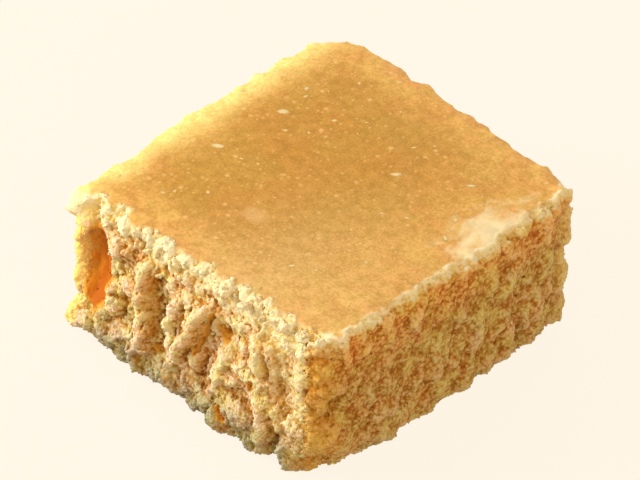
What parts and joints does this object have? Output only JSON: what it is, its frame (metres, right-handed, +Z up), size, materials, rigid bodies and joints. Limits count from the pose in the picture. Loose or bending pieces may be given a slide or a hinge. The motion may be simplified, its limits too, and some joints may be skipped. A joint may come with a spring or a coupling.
{
  "type": "barfi",
  "caption": "Square piece of barfi, a dense milk sweet, with a smooth golden skin on top and coarse crumbling sides; stands flat on its base.",
  "frame": {"origin": "middle of the box that the sweet fills, at the height of the surface that it stands on", "axes": "+Z up through the smooth skin; +Y along the longer side; the most broken wall faces -Y and the finer of the two shown walls faces +X"},
  "size_m": [0.042, 0.0452, 0.0198],
  "materials": {
    "barfi_crumb": "golden set milk crumb: satin amber skin on top, rough granular paler sides with a broken pale rim and orange-brown hollows"
  },
  "bodies": {
    "root": {"barfi": "barfi_crumb"}
  },
  "joints": []
}
